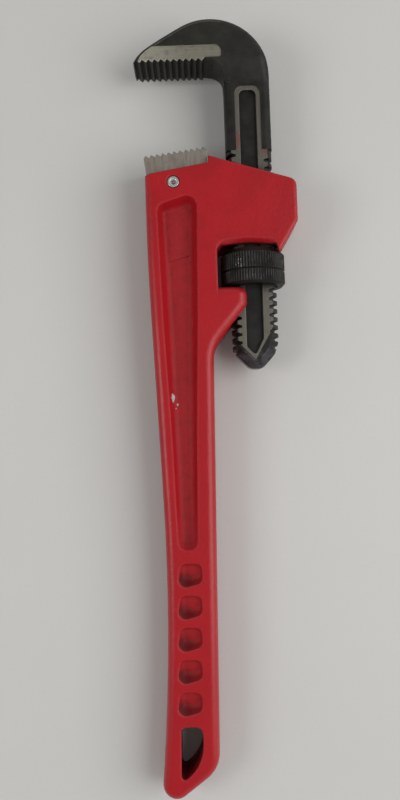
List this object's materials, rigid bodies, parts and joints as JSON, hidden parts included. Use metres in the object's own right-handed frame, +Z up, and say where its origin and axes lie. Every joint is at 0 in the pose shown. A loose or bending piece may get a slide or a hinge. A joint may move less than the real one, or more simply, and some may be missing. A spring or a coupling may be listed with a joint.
{
  "type": "pipe wrench",
  "caption": "Straight pipe wrench with a red cast I-beam handle, black threaded hook jaw, knurled adjusting nut and pinned steel heel jaw.",
  "frame": {"origin": "middle of the footprint, on the surface the wrench lies on (under the nut)", "axes": "+Y along the wrench from handle end to hook, +Z up out of the face that is seen, +X from the open side of the jaws to the back of the housing"},
  "size_m": [0.0892, 0.4327, 0.0362],
  "materials": {
    "red_paint": "semi-gloss red paint on cast iron",
    "black_steel": "black oxide with ground bright flats",
    "bare_steel": "bare satin steel",
    "bright_steel": "bright",
    "spring_steel": "dark satin"
  },
  "bodies": {
    "handle": {"handle": "red_paint", "heel_jaw": "bare_steel", "heel_jaw_pin": "bright_steel", "spring_rivet": "bright_steel"},
    "spring_pack": {"flat_spring": "spring_steel", "coil_spring": "spring_steel"},
    "hook_jaw": {"hook_jaw": "black_steel"},
    "adjusting_nut": {"adjusting_nut": "black_steel"}
  },
  "joints": [
    {"name": "jaw_rock", "type": "hinge", "parent": "handle", "child": "spring_pack", "pos_m": [0.0194, 0.07445, 0.0181], "axis": [0, 0, 1], "range_deg": [0, 3], "stiffness_Nm_per_rad": 4, "springref_deg": -10.31, "deforming": ["flat_spring", "coil_spring"]},
    {"name": "jaw_slide", "type": "slide", "parent": "spring_pack", "child": "hook_jaw", "axis": [0, 1, 0], "range_m": [-0.047, 0.024]},
    {"name": "nut_turn", "type": "hinge", "parent": "spring_pack", "child": "adjusting_nut", "pos_m": [0.0194, 0.07445, 0.0181], "axis": [0, 1, 0], "range_deg": [-1900, 3700]}
  ],
  "couplings": [
    {"joint": "nut_turn", "follows": "jaw_slide", "rad_per_m": -1360}
  ]
}
